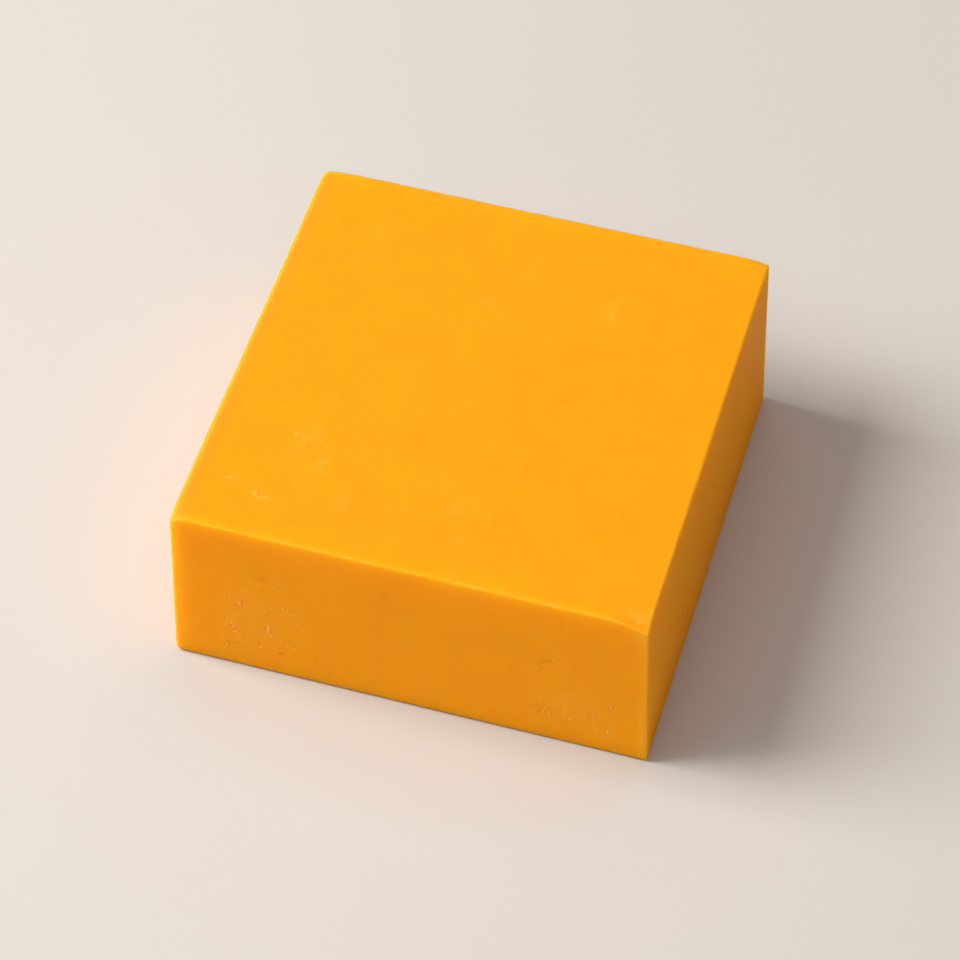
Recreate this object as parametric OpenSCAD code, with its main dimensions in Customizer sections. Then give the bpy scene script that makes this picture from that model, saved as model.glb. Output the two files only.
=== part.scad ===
// A block of orange cheddar, cut from a larger pressed block.
// Millimetres. +Z is up, the front is towards -Y, and the origin is at the middle of the underside.

/* [Block] */
// Width of the top, left to right
block_w = 100.7; // [60:0.1:180]
// Depth of the top, front to back
block_d = 103.9; // [60:0.1:180]
// Height of the block
block_h = 43.8; // [20:0.1:90]

/* [Lean of the faces] */
// How far the foot stands out past the top on the left
lean_left = 0.7; // [0:0.1:3]
// How far the foot stands out past the top on the right
lean_right = 1.4; // [0:0.1:3]
// How far the foot stands out past the top at the front
lean_front = 0.5; // [0:0.1:3]
// How far the foot stands out past the top at the back
lean_back = 0.1; // [0:0.1:3]
// How much the right face comes in towards the back
back_narrowing = 0.6; // [0:0.1:3]
// How much higher the back right corner of the top is
back_right_rise = 0.4; // [0:0.1:2]
// How far the middle of the top stands above its edges
top_crown = 0.2; // [0:0.05:1]

/* [Upright edges] */
// Radius of the front left upright edge
edge_front_left = 0.7; // [0.3:0.1:6]
// Radius of the front right upright edge, a fresh cut
edge_front_right = 0.3; // [0.3:0.1:6]
// Radius of the back right upright edge
edge_back_right = 1.0; // [0.3:0.1:6]
// Radius of the back left upright edge
edge_back_left = 2.0; // [0.3:0.1:6]

/* [Top edges] */
// Radius of the top edge along the front
top_edge_front = 0.5; // [0.3:0.1:5]
// Radius of the top edge along the right, a fresh cut
top_edge_right = 0.3; // [0.3:0.1:5]
// Radius of the top edge along the back
top_edge_back = 1.5; // [0.3:0.1:5]
// Radius of the top edge along the left
top_edge_left = 1.2; // [0.3:0.1:5]

/* [Bottom edges] */
// Radius of the bottom edge along the front
foot_edge_front = 1.2; // [0.3:0.1:5]
// Radius of the bottom edge along the right
foot_edge_right = 0.8; // [0.3:0.1:5]
// Radius of the bottom edge along the back
foot_edge_back = 1.2; // [0.3:0.1:5]
// Radius of the bottom edge along the left
foot_edge_left = 1.6; // [0.3:0.1:5]

/* [Worn corners] */
// How far the front right corner of the top has sunk
worn_front_right = 2.0; // [0:0.1:3]
// How far the wear of the front right corner reaches along the front edge
worn_front_right_across = 4.6; // [1:0.1:12]
// How far the wear of the front right corner reaches along the right edge
worn_front_right_along = 2.4; // [1:0.1:12]
// How far the back right corner of the top has sunk
worn_back_right = 0.8; // [0:0.1:3]
// How far the wear of the back right corner reaches
worn_back_right_reach = 3.0; // [1:0.1:12]
// How far the back left corner of the top has sunk
worn_back_left = 0.4; // [0:0.1:3]
// How far the wear of the back left corner reaches
worn_back_left_reach = 3.0; // [1:0.1:12]
// How far the front left corner of the top has sunk
worn_front_left = 1.1; // [0:0.1:3]
// How far the wear of the front left corner reaches
worn_front_left_reach = 2.4; // [1:0.1:12]

/* [Detail] */
// Points along each straight side
side_steps = 18; // [2:1:24]
// Steps round each upright edge
corner_steps = 6; // [2:1:10]
// Steps round each top and bottom edge
edge_steps = 5; // [2:1:8]
// Rings across the top, from its edge to its middle
cap_steps = 6; // [2:1:12]

/* [Hidden] */

cheddar_orange = "#f5a21c";

// The sides and the corners are both taken anticlockwise: front, right, back, left,
// where corner i stands between side i and side i + 1.
top_edges = [top_edge_front, top_edge_right, top_edge_back, top_edge_left];
foot_edges = [foot_edge_front, foot_edge_right, foot_edge_back, foot_edge_left];
upright_edges = [edge_front_right, edge_back_right, edge_back_left, edge_front_left];
worn = [worn_front_right, worn_back_right, worn_back_left, worn_front_left];
worn_reach = [
    [worn_front_right_across, worn_front_right_along],
    [worn_back_right_reach, worn_back_right_reach],
    [worn_back_left_reach, worn_back_left_reach],
    [worn_front_left_reach, worn_front_left_reach]];
outward = [[0, -1], [1, 0], [0, 1], [-1, 0]];
corner_signs = [[1, -1], [1, 1], [-1, 1], [-1, -1]];

// An upright edge never gets a smaller radius than this as the rings move inwards.
least_radius = 0.1;
wall_steps = 3;

// Half the plan, along the way that side i faces.
function half_span(i) = (i % 2 == 0) ? block_d / 2 : block_w / 2;

// Each level of the edge profile: [0 for the foot or 1 for the top, angle above the level].
foot_levels = [for (k = [0 : edge_steps]) [0, -90 + 90 * k / edge_steps]];
top_levels = [for (k = [0 : edge_steps]) [1, 90 * k / edge_steps]];

// The inset and the height of side i at a level.
function level_radius(level, i) = level[0] == 0 ? foot_edges[i] : top_edges[i];
function level_inset(level, i) = level_radius(level, i) * (1 - cos(level[1]));
function level_height(level, i) = level[0] == 0
    ? foot_edges[i] * (1 + sin(level[1]))
    : block_h - top_edges[i] * (1 - sin(level[1]));

// The radius left at corner i once both of its sides have moved in.
function ring_radius(level, i) =
    let (mean_inset = (level_inset(level, i) + level_inset(level, (i + 1) % 4)) / 2)
    max(upright_edges[i] - mean_inset, least_radius);

// The middle of the arc at corner i.
function arc_middle(level, i) =
    let (after = (i + 1) % 4)
    let (to_side = half_span(i) - level_inset(level, i) - ring_radius(level, i))
    let (to_next = half_span(after) - level_inset(level, after) - ring_radius(level, i))
    outward[i] * to_side + outward[after] * to_next;

// The points of the arc at corner i, turning from side i to the next.
function arc(level, i) =
    let (after = (i + 1) % 4)
    [for (k = [0 : corner_steps])
        let (t = k / corner_steps)
        let (plan = arc_middle(level, i)
            + ring_radius(level, i) * (cos(90 * t) * outward[i] + sin(90 * t) * outward[after]))
        let (z = level_height(level, i) * (1 - t) + level_height(level, after) * t)
        [plan.x, plan.y, z]];

// The points between one arc's end and the next arc's start, closer together near the ends.
function straight(from, to) = [for (k = [1 : side_steps - 1])
    from + (to - from) * (1 - cos(180 * k / side_steps)) / 2];

// A whole ring: the four arcs, each followed by its straight side.
function ring(level) =
    let (arcs = [for (i = [0 : 3]) arc(level, i)])
    [for (i = [0 : 3])
        let (next_arc = arcs[(i + 1) % 4])
        each concat(arcs[i], straight(arcs[i][corner_steps], next_arc[0]))];

// Rings part of the way up the wall, or part of the way in across the top.
function between(ring_a, ring_b, t) = [for (k = [0 : len(ring_a) - 1]) ring_a[k] * (1 - t) + ring_b[k] * t];
function shrunk(ring_a, t) = [for (p = ring_a) [p.x * t, p.y * t, p.z]];

foot_rings = [for (level = foot_levels) ring(level)];
top_rings = [for (level = top_levels) ring(level)];
wall_rings = [for (k = [1 : wall_steps - 1]) between(foot_rings[edge_steps], top_rings[0], k / wall_steps)];
cap_rings = [for (k = [1 : cap_steps - 1]) shrunk(top_rings[edge_steps], 1 - pow(k / cap_steps, 2))];
rings = concat(foot_rings, wall_rings, top_rings, cap_rings);

// How far the wear of corner i lowers the top at a point.
function wear(p, i) =
    let (corner = [corner_signs[i].x * block_w / 2, corner_signs[i].y * block_d / 2])
    let (away = norm([(p.x - corner.x) / worn_reach[i].x, (p.y - corner.y) / worn_reach[i].y]))
    worn[i] * exp(-away * away);
function all_wear(p) = wear(p, 0) + wear(p, 1) + wear(p, 2) + wear(p, 3);

// Moves a point of the upright block to its place in the leaning, crowned and worn one.
function settled(p) =
    let (up = p.z / block_h, across = p.x / block_w + 0.5, along = p.y / block_d + 0.5)
    let (down = 1 - up)
    let (side_shift = down * (across * lean_right - (1 - across) * lean_left))
    let (end_shift = down * (along * lean_back - (1 - along) * lean_front))
    let (crown = top_crown * 16 * across * (1 - across) * along * (1 - along))
    let (lift = back_right_rise * across * along + crown - all_wear(p))
    [p.x + side_shift - back_narrowing * across * along, p.y + end_shift, p.z + up * up * lift];

// Brings the middle of the foot to the origin.
foot_middle = [(lean_right - lean_left) / 2, (lean_back - lean_front) / 2, 0];
function placed(p) = settled(p) - foot_middle;

ring_size = len(rings[0]);
ring_points = [for (one_ring = rings) each [for (p = one_ring) placed(p)]];
foot_centre = len(ring_points);
top_centre = foot_centre + 1;
all_points = concat(ring_points, [placed([0, 0, 0]), placed([0, 0, block_h])]);

// Two triangles for each step round a ring, and a fan at the foot and at the top.
function at(row, k) = row * ring_size + k % ring_size;
walls = [for (row = [0 : len(rings) - 2], k = [0 : ring_size - 1])
    each [[at(row, k), at(row + 1, k), at(row + 1, k + 1)], [at(row, k), at(row + 1, k + 1), at(row, k + 1)]]];
foot_fan = [for (k = [0 : ring_size - 1]) [foot_centre, at(0, k), at(0, k + 1)]];
top_fan = [for (k = [0 : ring_size - 1]) [top_centre, at(len(rings) - 1, k + 1), at(len(rings) - 1, k)]];

module cheddar_block() {
    color(cheddar_orange)
        polyhedron(points = all_points, faces = concat(walls, foot_fan, top_fan));
}

cheddar_block();
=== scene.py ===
import bmesh
import bpy
import math
import random
from mathutils import Matrix, Quaternion, Vector, kdtree, noise


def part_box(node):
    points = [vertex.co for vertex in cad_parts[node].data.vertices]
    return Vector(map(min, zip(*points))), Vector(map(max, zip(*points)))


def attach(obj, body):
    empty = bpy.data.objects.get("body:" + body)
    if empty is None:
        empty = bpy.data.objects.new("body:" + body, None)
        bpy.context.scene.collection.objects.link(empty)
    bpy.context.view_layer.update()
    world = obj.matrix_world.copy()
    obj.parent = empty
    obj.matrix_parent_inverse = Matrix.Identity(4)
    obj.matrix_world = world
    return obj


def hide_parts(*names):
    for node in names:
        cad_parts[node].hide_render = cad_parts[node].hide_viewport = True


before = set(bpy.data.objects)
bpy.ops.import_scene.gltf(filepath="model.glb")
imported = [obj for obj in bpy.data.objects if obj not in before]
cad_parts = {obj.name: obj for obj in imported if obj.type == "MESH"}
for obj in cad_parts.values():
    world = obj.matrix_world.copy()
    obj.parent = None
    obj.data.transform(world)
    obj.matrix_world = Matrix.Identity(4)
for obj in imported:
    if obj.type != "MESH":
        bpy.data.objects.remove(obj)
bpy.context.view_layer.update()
mm = 0.001


def smoothStep(low, high, value):
    t = min(max((value - low) / (high - low), 0.0), 1.0)
    return t * t * (3 - 2 * t)


def bell(value, width):
    return math.exp(-(value / width) ** 2)


def hexColour(code):
    # sRGB hex to the linear colour that the shaders want
    channels = [int(code[i:i + 2], 16) / 255 for i in (1, 3, 5)]
    return [c / 12.92 if c < 0.04045 else ((c + 0.055) / 1.055) ** 2.4 for c in channels] + [1.0]


def addNode(tree, kind, settings=None, links=None):
    # settings: node property or input to its value; links: input to the output that feeds it
    node = tree.nodes.new(kind)
    for name, value in (settings or {}).items():
        if isinstance(name, str) and hasattr(node, name):
            setattr(node, name, value)
        else:
            node.inputs[name].default_value = value
    for name, source in (links or {}).items():
        tree.links.new(source, node.inputs[name])
    return node


def newMaterial(name):
    material = bpy.data.materials.new(name)
    material.use_nodes = True
    material.node_tree.nodes.clear()
    return material, material.node_tree


def newObject(name, mesh, material):
    piece = bpy.data.objects.new(name, mesh)
    mesh.materials.append(material)
    bpy.context.collection.objects.link(piece)
    return piece


# camera
view = {
    "aim": (-3.03, 11.0, 0.0),   # mm, where the lens axis meets the floor
    "azimuth": 16.0,        # degrees, from straight in front towards the right
    "elevation": 49.9,
    "roll": 0.5,
    "distance": 871.7,      # mm
    "focal": 149.6,         # mm
    "sensor": 36.0,         # mm
    "clip": (0.01, 30.0),   # m
}


def placeCamera(values):
    azimuth = math.radians(values["azimuth"])
    elevation = math.radians(values["elevation"])
    back = Vector((math.sin(azimuth) * math.cos(elevation),
                   -math.cos(azimuth) * math.cos(elevation),
                   math.sin(elevation)))
    place = (Vector(values["aim"]) + back * values["distance"]) * mm
    turn = back.to_track_quat("Z", "Y") @ Quaternion((0, 0, 1), math.radians(values["roll"]))
    lens = bpy.data.cameras.new("studioCamera")
    lens.lens = values["focal"]
    lens.sensor_width = values["sensor"]
    lens.clip_start, lens.clip_end = values["clip"]
    camera = bpy.data.objects.new("studioCamera", lens)
    camera.matrix_world = Matrix.Translation(place) @ turn.to_matrix().to_4x4()
    bpy.context.collection.objects.link(camera)
    bpy.context.scene.camera = camera


placeCamera(view)
print("camera placed")

# the block's shape, in mm; sides go by sign: x -1 left, y -1 front, z -1 foot, and 1 is opposite
block = {
    "lean": {"left": 0.7, "right": 1.4, "front": 0.5, "back": 0.1},   # how far the foot stands out
    "backNarrowing": 0.6,   # how much the right face comes in towards the back
    "backRightRise": 0.4,   # how much higher the back right corner of the top is
    "topCrown": 0.2,        # how far the middle of the top stands above its edges
    "radii": {   # of the twelve edges
        (-1, -1, 0): 0.7, (1, -1, 0): 0.3, (1, 1, 0): 1.0, (-1, 1, 0): 2.0,
        (0, -1, 1): 0.5, (1, 0, 1): 0.3, (0, 1, 1): 1.5, (-1, 0, 1): 1.2,
        (0, -1, -1): 1.2, (1, 0, -1): 0.8, (0, 1, -1): 1.2, (-1, 0, -1): 1.6,
    },
    "worn": {   # top corners: how far each has sunk, and how far the wear reaches across and along
        (1, -1): (2.0, 4.6, 2.4), (1, 1): (0.8, 3.0, 3.0),
        (-1, 1): (0.4, 3.0, 3.0), (-1, -1): (1.1, 2.4, 2.4),
    },
    "edgeSegments": 6,
    "gridStep": 0.95,      # mean spacing of the grid on each face
    "edgeCrowding": 0.7,   # how much closer the grid lines stand near the edges
    # wavelengths across, along and up, and height of the unevenness
    "sway": ((26, 26, 26, 0.10), (7, 7, 7, 0.035), (2.2, 2.2, 2.2, 0.010), (40, 3.0, 30, 0.03)),
    "swayShift": (3, 5),   # keeps the layers from lining up along and up
    "footFade": 2.0,       # the faces stay plain down here, so that the block stands flat
    "burr": {   # where the knife left the right hand edges
        "height": 0.10,
        # painted highlight along the ridge
        "paler": 0.20,
        "duller": 0.8,   # how much of the glow it loses
        "inset": 0.15,   # mm from the edge
        "width": 0.60,
        "flare": ((1.1, 0.6, 1.0), (0.3, 0.3, 0.0)),   # how much wider up the upright edge, from and to where
        "waver": (0.65, 0.35, 4.0),   # its mean strength, how much that varies, and over what length
    },
    "edgeTurn": (0.02, 0.2),    # how far a surface has turned off its face to count as an edge
    "edgeBumps": (0.06, 1.9),   # height and wavelength of the bumps on the edges
    "edgePaleness": (0.05, 0.30),      # how much paler the edges are everywhere, and where they are rubbed
    "scuffPatch": (1.3, 0.05, 0.45),   # wavelength of the rubbed places, and where they fade in
    "scuffShift": (4, 8, 2),    # moves the rubbed places about
    "paintedEdgeShade": {   # painted shade along the edges on the left and back, darker and redder: how far, and its reach in mm
        ("left", "top"): (0.60, 2.6), ("front", "left"): (0.60, 0.75),
        ("back", "top"): (0.30, 1.3), ("back", "left"): (0.15, 1.3),
    },
    "paleDuller": 2.0,   # how fast the glow goes as the curd gets paler
    "leastGlow": 0.25,   # what is left of the glow where the curd is torn or rubbed dry
}


def cutBlock(values, size):
    # an upright block with its twelve rounded edges, standing on z = 0
    bm = bmesh.new()
    bmesh.ops.create_cube(bm, size=1.0)
    bmesh.ops.translate(bm, verts=bm.verts, vec=(0, 0, 0.5))
    bmesh.ops.scale(bm, verts=bm.verts, vec=size)
    weights = bm.edges.layers.float.new("bevel_weight_edge")
    widest = max(values["radii"].values())
    for edge in bm.edges:
        middle = (edge.verts[0].co + edge.verts[1].co) / 2 - Vector((0, 0, size.z / 2))
        side = tuple(round(2 * middle[axis] / size[axis]) for axis in range(3))
        edge[weights] = values["radii"][side] / widest
    mesh = bpy.data.meshes.new("cutBlock")
    bm.to_mesh(mesh)
    bm.free()
    blank = bpy.data.objects.new("cutBlock", mesh)
    bpy.context.collection.objects.link(blank)
    bevel = blank.modifiers.new("roundEdges", "BEVEL")
    bevel.limit_method = "WEIGHT"
    bevel.width = widest * mm
    bevel.segments = values["edgeSegments"]
    bevel.profile = 0.5
    graph = bpy.context.evaluated_depsgraph_get()
    bm = bmesh.new()
    bm.from_object(blank, graph)
    bpy.data.objects.remove(blank)
    return bm


def gridFaces(bm, values, size):
    # one cut run along each axis turns the flats and the long strips into a grid
    for axis in range(3):
        longEdges = [e for e in bm.edges
                     if abs(e.verts[0].co[axis] - e.verts[1].co[axis]) > size[axis] / 2]
        bmesh.ops.subdivide_edges(bm, edges=longEdges, use_grid_fill=True,
                                  cuts=round(size[axis] / (values["gridStep"] * mm)) - 1)


def crowdGrid(bm, values, size):
    # moves the grid lines towards the edges, where the surface turns
    for axis in range(3):
        reach = [max(radius for side, radius in values["radii"].items() if side[axis] == sign)
                 for sign in (-1, 1)]
        low = (0 if axis == 2 else -size[axis] / 2) + reach[0] * mm
        high = (size[axis] if axis == 2 else size[axis] / 2) - reach[1] * mm
        for vert in bm.verts:
            t = (2 * vert.co[axis] - low - high) / (high - low)
            if abs(t) < 1:
                shift = values["edgeCrowding"] * math.sin(math.pi * t) / math.pi
                vert.co[axis] += shift * (high - low) / 2


def settleBlock(bm, values, size):
    # leans the faces, lifts the middle of the top and sinks its worn corners
    lean = values["lean"]
    middle = Vector((lean["right"] - lean["left"], lean["back"] - lean["front"], 0)) / 2
    for vert in bm.verts:
        x, y, z = vert.co / mm
        up = z * mm / size.z
        across = x * mm / size.x + 0.5
        along = y * mm / size.y + 0.5
        lift = values["backRightRise"] * across * along
        lift += values["topCrown"] * 16 * across * (1 - across) * along * (1 - along)   # 16 makes the middle 1
        for (sideX, sideY), (depth, reachX, reachY) in values["worn"].items():
            away = math.hypot((x - sideX * size.x / mm / 2) / reachX,
                              (y - sideY * size.y / mm / 2) / reachY)
            lift -= depth * bell(away, 1.0)
        sideShift = (1 - up) * (across * lean["right"] - (1 - across) * lean["left"])
        endShift = (1 - up) * (along * lean["back"] - (1 - along) * lean["front"])
        place = Vector((x + sideShift - values["backNarrowing"] * across * along,
                        y + endShift,
                        z + up * up * lift))
        vert.co = (place - middle) * mm


# marks of the curd, in mm on the face they lie on:
# (x, z) front and back, (y, z) left and right, (x, y) top
faceFrames = {   # outward, first axis, second axis
    "front": ((0, -1, 0), (1, 0, 0), (0, 0, 1)),
    "back": ((0, 1, 0), (1, 0, 0), (0, 0, 1)),
    "left": ((-1, 0, 0), (0, 1, 0), (0, 0, 1)),
    "right": ((1, 0, 0), (0, 1, 0), (0, 0, 1)),
    "top": ((0, 0, 1), (1, 0, 0), (0, 1, 0)),
}
curd = {
    # depth and lip in mm, then how pale and how dark the curd is there: the darkness is painted shade in the
    # hollows, pin holes and torn places, and the curd's own darker tone on oily spots
    "kinds": {
        "ragged": (0.17, 0.20, 0.85, 0.28),
        "hollow": (0.16, 0.0, 0.0, 0.26),
        "pin": (0.26, 0.12, 0.65, 0.55),
        "cloud": (0.0, 0.0, 0.09, 0.0),
        "oily": (0.02, 0.0, 0.0, 0.14),
        "rubbed": (0.0, 0.0, 0.13, 0.0),
    },
    # kind, place, half length, half width, turn in degrees
    "marks": {
        "front": (
            ("hollow", (-30.8, 30.6), 1.9, 1.3, 10), ("ragged", (-27.4, 29.4), 1.5, 0.9, -60),
            ("ragged", (-31.4, 28.4), 1.3, 0.6, 10), ("ragged", (-33.4, 31.6), 1.0, 0.5, 80),
            ("ragged", (-29.8, 32.4), 1.4, 0.4, -10), ("ragged", (-34.0, 35.0), 1.6, 0.3, 80),
            ("ragged", (-34.5, 25.8), 1.0, 0.6, 20), ("ragged", (-38.8, 21.9), 0.8, 0.7, 0),
            ("ragged", (-36.0, 21.3), 1.2, 1.1, 30), ("ragged", (-37.2, 20.1), 0.9, 0.5, 0),
            ("ragged", (-34.8, 19.0), 1.1, 0.5, -30), ("ragged", (-25.2, 21.2), 1.1, 1.0, 0),
            ("ragged", (-24.8, 19.0), 0.9, 0.5, -70), ("ragged", (-30.0, 20.6), 2.4, 0.5, 20),
            ("ragged", (-39.2, 15.6), 1.6, 0.9, 70), ("ragged", (-37.8, 11.6), 1.3, 0.7, -50),
            ("ragged", (-36.7, 9.9), 0.9, 0.8, 0), ("ragged", (-32.0, 12.8), 1.1, 0.9, 0),
            ("ragged", (-26.2, 11.2), 1.6, 0.5, -10), ("ragged", (-24.4, 10.4), 0.9, 0.8, 0),
            ("ragged", (-32.2, 8.2), 1.1, 0.6, 80), ("ragged", (-29.5, 8.0), 0.8, 0.6, 0),
            ("ragged", (-39.4, 7.0), 2.0, 1.4, 60), ("ragged", (-36.3, 7.6), 0.7, 0.5, 0),
            ("pin", (-38.5, 12.8), 0.42, 0.36, 0), ("pin", (-32.1, 12.9), 0.45, 0.36, 30),
            ("pin", (-31.3, 11.8), 0.28, 0.26, 0), ("pin", (-29.6, 13.4), 0.32, 0.28, 0),
            ("pin", (-38.9, 22.0), 0.34, 0.30, 0), ("pin", (-37.4, 20.0), 0.34, 0.26, 0),
            ("pin", (-35.8, 21.6), 0.40, 0.28, 40), ("pin", (-29.4, 8.2), 0.30, 0.26, 0),
            ("pin", (-20.2, 8.2), 0.50, 0.28, 60), ("pin", (-17.1, 4.9), 0.38, 0.32, 40),
            ("pin", (-27.6, 27.6), 0.30, 0.26, 0), ("ragged", (-9.3, 6.3), 0.9, 0.4, 70),
            ("cloud", (-33.0, 17.0), 9.0, 11.0, 0), ("cloud", (-38.6, 14.6), 3.0, 2.4, 0),
            ("cloud", (18.8, 30.0), 1.1, 0.9, 0), ("oily", (-4.9, 37.0), 7.0, 0.4, 88),
            ("hollow", (28.9, 25.2), 1.8, 0.8, 32), ("ragged", (30.6, 26.4), 1.3, 0.6, 35),
            ("ragged", (26.4, 23.6), 1.1, 0.5, 65), ("ragged", (26.9, 21.9), 1.0, 0.4, -60),
            ("ragged", (28.6, 23.6), 1.5, 0.4, 32), ("ragged", (26.8, 15.2), 1.4, 0.5, 80),
            ("ragged", (29.2, 12.5), 1.4, 1.0, 60), ("ragged", (28.2, 8.6), 1.6, 0.8, 60),
            ("ragged", (35.2, 16.6), 2.2, 0.9, 15), ("ragged", (32.8, 10.9), 1.9, 0.8, -60),
            ("ragged", (34.6, 8.6), 1.3, 0.6, -40), ("ragged", (39.0, 10.4), 1.7, 1.2, 80),
            ("ragged", (42.6, 7.0), 1.9, 1.1, 80), ("ragged", (43.2, 22.4), 0.9, 0.5, 80),
            ("pin", (38.9, 11.6), 0.30, 0.26, 0), ("pin", (38.6, 8.6), 0.30, 0.22, 0),
            ("cloud", (35.5, 12.0), 9.0, 6.5, 10), ("cloud", (42.6, 6.6), 2.2, 2.6, 0),
            ("rubbed", (48.8, 40.6), 3.4, 1.6, 70),
        ),
        "top": (
            ("cloud", (-35.0, 27.7), 2.8, 2.4, 20), ("cloud", (-29.3, 28.2), 1.6, 2.4, 0),
            ("cloud", (-33.4, 36.5), 1.4, 3.0, 0), ("cloud", (-5.5, 23.0), 1.9, 1.4, -30),
            ("cloud", (-13.6, 3.1), 1.5, 1.2, -40), ("cloud", (-30.5, -25.0), 7.0, 2.2, 68),
            ("cloud", (-25.4, -30.0), 6.0, 2.0, 78), ("cloud", (-18.4, -39.0), 3.2, 1.6, 80),
            ("cloud", (-34.4, -41.2), 2.8, 1.8, 0), ("cloud", (4.4, -33.4), 2.6, 2.8, 30),
            ("cloud", (7.9, -41.6), 2.2, 1.6, 0), ("cloud", (20.8, 27.0), 6.0, 1.6, 82),
            ("oily", (25.2, 27.4), 1.4, 1.3, 0), ("oily", (-9.1, -16.8), 1.5, 1.4, 0),
            ("oily", (22.1, 14.2), 1.3, 0.9, 0), ("oily", (13.0, -11.0), 2.6, 2.0, 30),
            ("ragged", (-33.4, -41.8), 1.4, 0.8, -20), ("ragged", (-35.9, -40.8), 1.2, 0.5, -30),
            ("ragged", (-41.7, -38.6), 1.5, 1.0, 0), ("ragged", (-27.4, -23.6), 1.6, 0.6, 70),
            ("ragged", (-32.4, -22.9), 1.4, 0.7, 60), ("ragged", (-24.6, -29.8), 1.5, 0.6, 70),
            ("ragged", (-27.2, -36.4), 1.4, 0.6, 70), ("ragged", (-18.5, -38.4), 1.6, 0.6, 80),
            ("ragged", (5.3, -31.8), 1.5, 0.6, 70), ("ragged", (3.6, -33.6), 1.1, 0.6, 40),
            ("ragged", (19.8, 33.4), 2.0, 0.4, 84), ("ragged", (20.9, 27.0), 1.6, 0.7, 80),
            ("ragged", (21.4, 19.4), 0.9, 0.5, 60), ("ragged", (13.1, -14.7), 1.1, 0.5, 0),
            ("ragged", (24.5, -17.2), 0.9, 0.5, 60), ("ragged", (-5.6, 23.2), 1.0, 0.7, 0),
            ("pin", (-33.0, -42.0), 0.30, 0.26, 0), ("pin", (-27.8, -23.9), 0.28, 0.26, 0),
            ("pin", (21.3, 19.4), 0.28, 0.24, 0), ("pin", (5.5, -32.2), 0.34, 0.24, 70),
            ("rubbed", (46.4, -49.4), 3.0, 2.0, 0), ("rubbed", (-49.4, -51.0), 2.0, 1.6, 0),
        ),
        "right": (
            ("ragged", (39.5, 31.2), 3.0, 0.7, -50), ("ragged", (43.4, 27.6), 3.2, 0.8, -55),
            ("hollow", (46.4, 23.8), 2.0, 0.7, -35), ("ragged", (-43.6, 26.0), 3.0, 0.8, 80),
            ("ragged", (-48.6, 30.6), 2.2, 0.7, -60), ("hollow", (-33.0, 21.6), 2.4, 0.8, -50),
            ("ragged", (19.8, 24.6), 2.0, 0.6, -70), ("ragged", (-24.0, 30.0), 2.2, 0.5, 85),
            ("hollow", (4.0, 24.4), 3.4, 0.7, -50), ("ragged", (-11.6, 9.6), 2.0, 0.6, -50),
            ("pin", (5.0, 34.0), 0.3, 0.3, 0), ("cloud", (40.0, 33.0), 9.0, 8.0, 0),
        ),
        "back": (
            ("cloud", (-14.0, 20.0), 12.0, 9.0, 20), ("hollow", (-18.6, 24.4), 1.7, 1.0, 30),
            ("cloud", (27.0, 12.0), 6.0, 4.0, -30),
        ),
        "left": (
            ("cloud", (12.0, 24.0), 13.0, 8.0, -10), ("hollow", (16.2, 27.2), 1.5, 0.9, -20),
            ("cloud", (-30.0, 14.0), 5.0, 6.0, 0),
        ),
    },
    # where more torn marks are scattered: face, middle, half sizes, how many
    "scatter": (
        ("back", (-14.0, 20.0), (11.0, 10.0), 22), ("back", (27.0, 12.0), (6.0, 5.0), 8),
        ("left", (12.0, 24.0), (13.0, 8.0), 22), ("left", (-30.0, 14.0), (5.0, 6.0), 7),
        ("right", (-26.0, 16.0), (9.0, 8.0), 8), ("front", (34.0, 12.0), (11.0, 8.0), 14),
        ("front", (-32.0, 16.0), (9.0, 10.0), 18), ("top", (-28.0, -30.0), (9.0, 12.0), 7),
    ),
    "scatterKinds": ("ragged", "ragged", "ragged", "pin"),
    "scatterSize": (0.5, 1.5),    # mm
    "scatterWidth": (0.4, 0.8),   # share of the length
    "scatterCrowding": 0.6,       # 0.5 spreads them evenly, and more gathers them in the middle
    "scatterPin": 0.25,           # how much smaller a scattered pin hole is
    "seed": 7,
    "strength": {"top": 0.6},     # marks are fainter on this face
    "onFace": 0.8,         # how squarely a cell has to face outwards to belong to a face
    "facingMark": 0.7,     # the same for a vertex that a mark moves
    "fineCuts": 4,         # extra grid lines in each cell near a mark
    "margin": 0.6,         # mm, how far the fine grid goes past a mark
    "wobble": (0.9, 0.5),  # how fine and how strong the unevenness of a mark's outline is
    "toneSpread": 0.75,    # soft edges of the clouds, hollows and torn patches, in their half lengths
    "hollowSpread": 0.7,
    "tornSpread": 0.8,
    "pinRim": (1.15, 0.3),     # where a pin hole's rim is and how wide, in its half lengths
    "rimSides": (0.3, 0.7, 0.6),   # the rim's mean height, how much it varies round the hole, and where
    "grain": 0.5,          # mm, size of the torn crumbs
    "fineGrain": (0.4, 2.1),   # share and fineness of the smaller crumbs
    "raised": (0.12, 0.42),    # how much of the curd stands up, and how steeply
    "sunk": (0.16, 0.46),      # and how much is torn out
}


def allMarks(values):
    # the listed marks, then the scattered ones
    picker = random.Random(values["seed"])
    marks = [(face, *mark) for face, row in values["marks"].items() for mark in row]
    for face, middle, half, count in values["scatter"]:
        for index in range(count):
            angle = picker.uniform(0, 2 * math.pi)
            away = picker.random() ** values["scatterCrowding"]
            place = (middle[0] + half[0] * away * math.cos(angle),
                     middle[1] + half[1] * away * math.sin(angle))
            kind = picker.choice(values["scatterKinds"])
            length = picker.uniform(*values["scatterSize"]) * (values["scatterPin"] if kind == "pin" else 1.0)
            width = length * picker.uniform(*values["scatterWidth"])
            marks.append((face, kind, place, length, width, picker.uniform(-90, 90)))
    return marks


def onFace(face, place, size):
    # a face's place in mm to a point on the block
    outward, first, second = (Vector(v) for v in faceFrames[face])
    point = first * place[0] + second * place[1]
    depth = size.z / mm if face == "top" else abs(outward.dot(size)) / 2 / mm
    return (point + outward * depth) * mm


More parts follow.
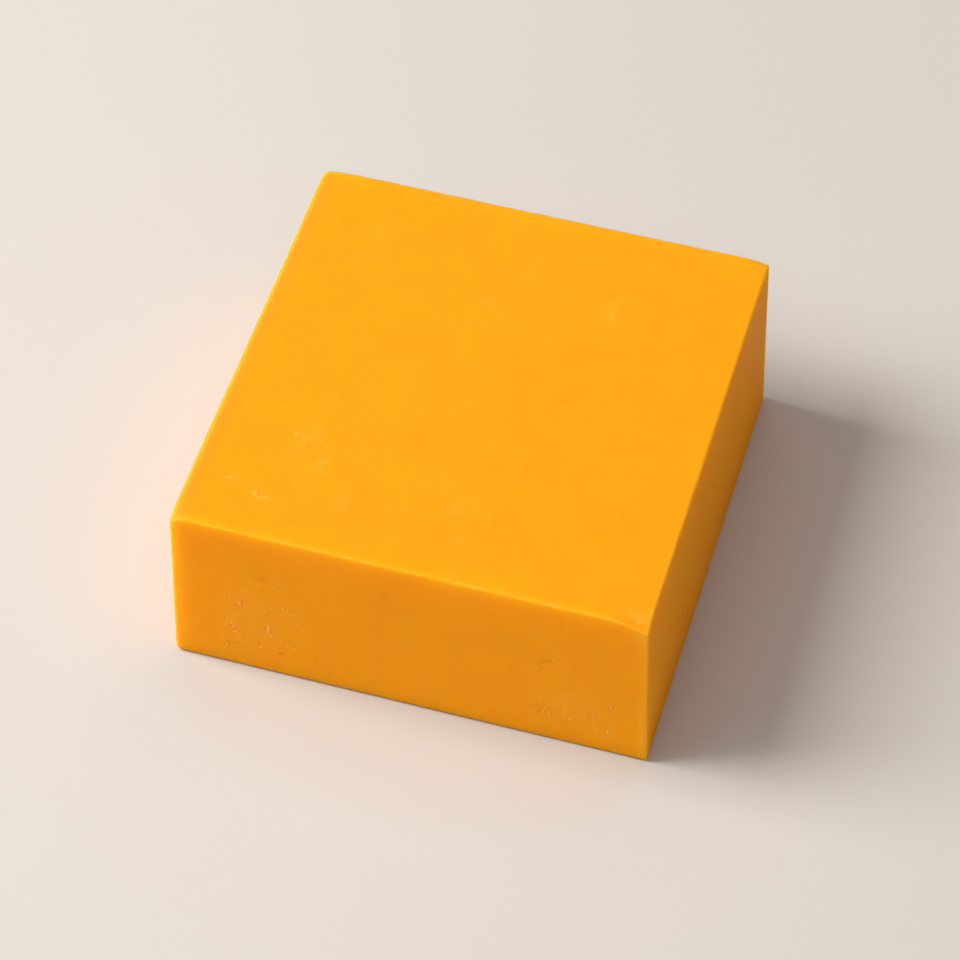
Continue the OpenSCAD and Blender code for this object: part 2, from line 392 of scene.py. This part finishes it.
def facing(normal, values):
    # the name of the face that a normal points out of, or None on an edge
    for face, axes in faceFrames.items():
        if normal.dot(Vector(axes[0])) > values["onFace"]:
            return face
    return None


def refineTorn(bm, values, marks, size):
    # splits the grid's cells finely where there is something small to shape
    torn = [mark for mark in marks if mark[1] in ("ragged", "hollow", "pin")]
    near = kdtree.KDTree(len(torn))
    for index, mark in enumerate(torn):
        near.insert(onFace(mark[0], mark[2], size), index)
    near.balance()
    widest = max(mark[3] for mark in torn)
    bm.normal_update()
    chosen = set()
    for cell in bm.faces:
        if facing(cell.normal, values) is None:
            continue
        found = near.find_range(cell.calc_center_median(), (widest + values["margin"]) * mm)
        if any(away < (torn[index][3] + values["margin"]) * mm for spot, index, away in found):
            chosen.update(cell.edges)
    bmesh.ops.subdivide_edges(bm, edges=list(chosen), cuts=values["fineCuts"], use_grid_fill=True)


def markShape(kind, along, across, point, values):
    # height, paleness and darkness of one mark at a place in its own half lengths; the darkness where the mark
    # sinks is painted shade
    depth, lip, pale, darkAndPitShade = values["kinds"][kind]
    fineness, unevenness = values["wobble"]
    radius = math.hypot(along, across) * (1 + unevenness * noise.noise(point * fineness))
    if kind in ("cloud", "oily", "rubbed"):
        tone = bell(radius, values["toneSpread"])
        return 0.0, pale * tone, darkAndPitShade * tone
    if kind == "hollow":
        dish = bell(radius, values["hollowSpread"])
        return -depth * dish, 0.0, darkAndPitShade * dish
    if kind == "pin":
        dish = max(0.0, 1 - radius * radius)
        rimPlace, rimWidth = values["pinRim"]
        mean, swing, start = values["rimSides"]
        rim = bell(radius - rimPlace, rimWidth)
        rim *= max(0.0, mean + swing * math.sin(math.atan2(across, along) + start))
        return lip * rim - depth * dish, pale * rim, darkAndPitShade * dish
    share, fineness = values["fineGrain"]
    crumb = noise.noise(point / values["grain"]) + share * noise.noise(point / values["grain"] * fineness)
    spread = bell(radius, values["tornSpread"])
    raised = smoothStep(*values["raised"], crumb) * spread
    sunk = smoothStep(*values["sunk"], -crumb) * spread
    return lip * raised - depth * sunk, pale * raised, darkAndPitShade * sunk


def applyMarks(bm, marks, values, normals, size):
    # paints the marks, with painted shade where they sink, and returns how far each one moves each vertex
    pale = bm.verts.layers.float["pale"]
    darkAndPitShade = bm.verts.layers.float["darkAndPitShade"]
    tree = kdtree.KDTree(len(bm.verts))
    for vert in bm.verts:
        tree.insert(vert.co, vert.index)
    tree.balance()
    heights = [0.0] * len(bm.verts)
    for face, kind, place, length, width, turn in marks:
        outward, first, second = (Vector(v) for v in faceFrames[face])
        centre = onFace(face, place, size)
        angle = math.radians(turn)
        strength = values["strength"].get(face, 1.0) if kind in ("ragged", "pin") else 1.0
        reach = (2 * max(length, width) + values["grain"]) * mm
        for spot, index, away in tree.find_range(centre, reach):
            if normals[index].dot(outward) < values["facingMark"]:
                continue
            gap = (spot - centre) / mm
            u, v = gap.dot(first), gap.dot(second)
            along = (u * math.cos(angle) + v * math.sin(angle)) / length
            across = (v * math.cos(angle) - u * math.sin(angle)) / width
            height, paler, darkerAndPitShade = markShape(kind, along, across, spot / mm, values)
            heights[index] += height * strength
            bm.verts[index][pale] += paler * strength
            bm.verts[index][darkAndPitShade] += darkerAndPitShade * strength
    return heights


def burrShare(point, face, values, size):
    # how much of the knife's ridge there is at a place, from none to 1
    if face not in ("top", "front") or point.x <= 0:
        return 0.0
    burr = values["burr"]
    width = burr["width"]
    if face == "front":
        up = point.z * mm / size.z
        width += sum(extra * smoothStep(start, full, up) for extra, start, full in burr["flare"])
    fromEdge = size.x / mm / 2 - abs(point.x)
    mean, swing, length = burr["waver"]
    return (mean + swing * noise.noise(point / length)) * bell(fromEdge - burr["inset"], width)


def paintedEdgeShadeShare(point, values, size):
    # how much painted shade a place gets: it has to be close to both sides of an edge
    half = size / mm / 2
    insets = {"left": point.x + half.x, "front": point.y + half.y,
              "back": half.y - point.y, "top": 2 * half.z - point.z}
    return max(strength * bell(max(insets[first], insets[second], 0.0), reach)
               for (first, second), (strength, reach) in values["paintedEdgeShade"].items())


def shapeSurface(bm, values, marks, curdValues, size):
    # gives the faces their unevenness and marks, and the edges their paler patches, the knife's burr with a
    # painted highlight, and painted shade on the left and back
    pale = bm.verts.layers.float.new("pale")
    bm.verts.layers.float.new("darkAndPitShade")
    paintedEdgeShade = bm.verts.layers.float.new("paintedEdgeShade")
    glow = bm.verts.layers.float.new("glow")
    bm.normal_update()
    bm.verts.ensure_lookup_table()
    normals = [vert.normal.copy() for vert in bm.verts]
    heights = applyMarks(bm, marks, curdValues, normals, size)
    shiftAlong, shiftUp = values["swayShift"]
    patch, patchStart, patchFull = values["scuffPatch"]
    paleAllRound, rubbedOff = values["edgePaleness"]
    scuffShift = Vector(values["scuffShift"])
    bumpHeight, bumpLength = values["edgeBumps"]
    burr = values["burr"]
    for vert in bm.verts:
        normal = normals[vert.index]
        point = vert.co / mm
        height = heights[vert.index]
        for across, along, up, swing in values["sway"]:
            place = Vector((point.x / across + across, point.y / along + shiftAlong, point.z / up + shiftUp))
            height += swing * noise.noise(place)
        turned = smoothStep(*values["edgeTurn"], 1 - max(abs(c) for c in normal))
        rubbed = smoothStep(patchStart, patchFull, noise.noise(point / patch + scuffShift))
        # painted shade along the edges on the left and back, which also keeps them from getting paler
        vert[paintedEdgeShade] = paintedEdgeShadeShare(point, values, size)
        vert[pale] += turned * (1 - vert[paintedEdgeShade]) * (paleAllRound + rubbedOff * rubbed)
        height += bumpHeight * turned * noise.noise(point / bumpLength)
        ridge = burrShare(point, facing(normal, curdValues), values, size)
        height += burr["height"] * ridge
        # painted highlight along the knife's ridge
        vert[pale] += burr["paler"] * ridge
        remaining = 1 - values["paleDuller"] * vert[pale] - burr["duller"] * ridge
        vert[glow] = max(values["leastGlow"], remaining)
        vert.co += normal * height * mm * smoothStep(0.0, values["footFade"], point.z)


def cheddarBlock(values, curdValues, material):
    low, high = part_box("cheddar_block")
    lean = values["lean"]
    size = Vector((high.x - low.x - (lean["left"] + lean["right"]) * mm,
                   high.y - low.y - (lean["front"] + lean["back"]) * mm,
                   high.z - low.z - values["backRightRise"] * mm))
    bm = cutBlock(values, size)
    gridFaces(bm, values, size)
    crowdGrid(bm, values, size)
    print("block cut and gridded:", len(bm.faces), "faces")
    marks = allMarks(curdValues)
    refineTorn(bm, curdValues, marks, size)
    settleBlock(bm, values, size)
    shapeSurface(bm, values, marks, curdValues, size)
    bmesh.ops.triangulate(bm, faces=[f for f in bm.faces if len(f.verts) > 4])
    print("curd marks shaped:", len(marks), "marks,", sum(len(f.verts) - 2 for f in bm.faces), "triangles")
    mesh = bpy.data.meshes.new("cheddarBlock")
    bm.to_mesh(mesh)
    bm.free()
    mesh.shade_smooth()
    return newObject("cheddarBlock", mesh, material)


# cheddar coloured with annatto: a dense, fatty curd, pressed and cut. Light goes a few millimetres
# in and comes out deeper orange, so edges glow, and the faint grease gives a broad satin sheen.
cheddar = {
    "orange": "#f29b14",
    "deep": "#f09813",        # older, drier curd
    "pale": "#ffbf54",        # torn curd and paler edges, which scatter more, and the painted highlight along the knife's burr
    "darkAndPitShade": "#c9720f",        # painted shade at the bottoms of pits, and oily spots
    "paintedEdgeShade": "#ec722a",       # painted shade along the edges on the left and back
    "curdSize": 11.0,         # mm, the pressed curds
    "curdDetail": (3.0, 0.55),   # noise detail and its roughness
    "curdFade": (0.35, 0.65),    # how softly the older curd meets the rest
    "grainSize": 0.8,         # mm, drawn a little coarser than it is so that it shows
    "grainDetail": (4.0, 0.6),
    "grainHeight": 0.05,      # mm
    "grainStrength": 0.25,
    "streakSize": (1.3, 38.0, 38.0),   # mm across, along and up: the faint lines that the wire left
    "streakFade": (0.5, 0.75),
    "streakDepth": 0.03,
    "roughness": 0.58,
    "roughnessSwing": 0.05,   # greasier and drier places
    "ior": 1.45,
    "gloss": 0.04,            # the surface is dry to the touch, so it mirrors little
    "glowDepth": 6.0,         # mm, the shader's scattering distance; the glow shows about 3 mm from an edge
    "glowRatio": (1.0, 1.8, 1.0),
}


def cheddarMaterial(values):
    material, tree = newMaterial("annattoCheddar")
    place = addNode(tree, "ShaderNodeTexCoord").outputs["Object"]
    curdNoise = addNode(tree, "ShaderNodeTexNoise",
                        {"Scale": 1 / (values["curdSize"] * mm),
                         "Detail": values["curdDetail"][0], "Roughness": values["curdDetail"][1]},
                        {"Vector": place})
    curdTone = addNode(tree, "ShaderNodeMapRange",
                       {"From Min": values["curdFade"][0], "From Max": values["curdFade"][1]},
                       {"Value": curdNoise.outputs["Fac"]})
    body = addNode(tree, "ShaderNodeMix",
                   {"data_type": "RGBA", 6: hexColour(values["deep"]), 7: hexColour(values["orange"])},
                   {0: curdTone.outputs["Result"]})
    knife = addNode(tree, "ShaderNodeMapping",
                    {"Scale": [1 / (length * mm) for length in values["streakSize"]]}, {"Vector": place})
    streaks = addNode(tree, "ShaderNodeTexNoise", {"Scale": 1.0, "Detail": 2.0},
                      {"Vector": knife.outputs["Vector"]})
    streakTone = addNode(tree, "ShaderNodeMapRange",
                         {"From Min": values["streakFade"][0], "From Max": values["streakFade"][1],
                          "To Max": values["streakDepth"]},
                         {"Value": streaks.outputs["Fac"]})
    streaked = addNode(tree, "ShaderNodeMix", {"data_type": "RGBA", 7: hexColour(values["darkAndPitShade"])},
                       {0: streakTone.outputs["Result"], 6: body.outputs[2]})
    # painted shade along the edges on the left and back
    edgeShadeMask = addNode(tree, "ShaderNodeAttribute", {"attribute_name": "paintedEdgeShade"})
    withEdgeShade = addNode(tree, "ShaderNodeMix", {"data_type": "RGBA", 7: hexColour(values["paintedEdgeShade"])},
                        {0: edgeShadeMask.outputs["Fac"], 6: streaked.outputs[2]})
    palenessAndHighlight = addNode(tree, "ShaderNodeAttribute", {"attribute_name": "pale"})
    withPaleAndHighlight = addNode(tree, "ShaderNodeMix", {"data_type": "RGBA", 7: hexColour(values["pale"])},
                       {0: palenessAndHighlight.outputs["Fac"], 6: withEdgeShade.outputs[2]})
    # painted shade in the pits, and the darker oily spots
    darkAndPitShadeMask = addNode(tree, "ShaderNodeAttribute", {"attribute_name": "darkAndPitShade"})
    withDarkAndPitShade = addNode(tree, "ShaderNodeMix", {"data_type": "RGBA", 7: hexColour(values["darkAndPitShade"])},
                       {0: darkAndPitShadeMask.outputs["Fac"], 6: withPaleAndHighlight.outputs[2]})
    grain = addNode(tree, "ShaderNodeTexNoise",
                    {"Scale": 1 / (values["grainSize"] * mm),
                     "Detail": values["grainDetail"][0], "Roughness": values["grainDetail"][1]},
                    {"Vector": place})
    bump = addNode(tree, "ShaderNodeBump",
                   {"Strength": values["grainStrength"], "Distance": values["grainHeight"] * mm},
                   {"Height": grain.outputs["Fac"]})
    sheen = addNode(tree, "ShaderNodeMapRange",
                    {"To Min": values["roughness"] - values["roughnessSwing"],
                     "To Max": values["roughness"] + values["roughnessSwing"]},
                    {"Value": curdNoise.outputs["Fac"]})
    glow = addNode(tree, "ShaderNodeAttribute", {"attribute_name": "glow"})
    shader = addNode(tree, "ShaderNodeBsdfPrincipled",
                     {"IOR": values["ior"], "Specular IOR Level": values["gloss"],
                      "Subsurface Scale": values["glowDepth"] * mm,
                      "Subsurface Radius": values["glowRatio"]},
                     {"Base Color": withDarkAndPitShade.outputs[2], "Roughness": sheen.outputs["Result"],
                      "Normal": bump.outputs["Normal"], "Subsurface Weight": glow.outputs["Fac"]})
    addNode(tree, "ShaderNodeOutputMaterial", {}, {"Surface": shader.outputs["BSDF"]})
    return material


piece = cheddarBlock(block, curd, cheddarMaterial(cheddar))
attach(piece, "root")
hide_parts("cheddar_block")
print("block finished")

# studio
studio = {
    "floorSize": 6.0,   # m
    "floorColour": "#c0bfbd",
    "floorRoughness": 0.85,
    "backdrop": "#ecdfd2",
    "ambient": 0.25,
    "aimHeight": 22.0,   # mm, what the lamps point at
    # azimuth (180 is from the left, 270 from the front) and elevation in degrees, distance in m,
    # width and height in m, power in W, colour
    "lamps": {
        "key": (189, 42, 1.85, 0.85, 1.4, 51.5, "#fffaf4"),
        "keySide": (215, 40, 1.8, 0.6, 0.8, 3.2, "#fffaf4"),
        "overBack": (90, 66, 1.6, 1.2, 0.8, 4.2, "#fffaf4"),
        "overFront": (285, 72, 1.6, 1.2, 0.8, 2.8, "#fffaf4"),
        "front": (268, 12, 1.7, 1.3, 0.5, 4.8, "#fff6ea"),
        "right": (8, 12, 1.7, 1.0, 0.4, 2.35, "#ff7432"),
    },
}


def studioFloor(values):
    # painted, perfectly plain board: pale and matt
    material, tree = newMaterial("paleBoard")
    shader = addNode(tree, "ShaderNodeBsdfPrincipled",
                     {"Base Color": hexColour(values["floorColour"]), "Roughness": values["floorRoughness"]})
    addNode(tree, "ShaderNodeOutputMaterial", {}, {"Surface": shader.outputs["BSDF"]})
    bm = bmesh.new()
    bmesh.ops.create_grid(bm, x_segments=1, y_segments=1, size=values["floorSize"] / 2)
    mesh = bpy.data.meshes.new("studioFloor")
    bm.to_mesh(mesh)
    bm.free()
    newObject("studioFloor", mesh, material)


def studioLights(values):
    for name, (azimuth, elevation, distance, width, height, power, colour) in values["lamps"].items():
        light = bpy.data.lights.new(name, "AREA")
        light.shape = "RECTANGLE"
        light.size = width
        light.size_y = height
        light.energy = power
        light.color = hexColour(colour)[:3]
        lamp = bpy.data.objects.new(name, light)
        turn, rise = math.radians(azimuth), math.radians(elevation)
        back = Vector((math.cos(turn) * math.cos(rise), math.sin(turn) * math.cos(rise), math.sin(rise)))
        place = back * distance + Vector((0, 0, values["aimHeight"] * mm))
        lamp.matrix_world = Matrix.Translation(place) @ back.to_track_quat("Z", "Y").to_matrix().to_4x4()
        bpy.context.collection.objects.link(lamp)
    world = bpy.data.worlds.new("studio")
    world.use_nodes = True
    world.node_tree.nodes.clear()
    air = addNode(world.node_tree, "ShaderNodeBackground",
                  {"Color": hexColour(values["backdrop"]), "Strength": values["ambient"]})
    addNode(world.node_tree, "ShaderNodeOutputWorld", {}, {"Surface": air.outputs["Background"]})
    bpy.context.scene.world = world


studioFloor(studio)
studioLights(studio)
bpy.context.scene.view_settings.view_transform = "Standard"
print("studio lit")
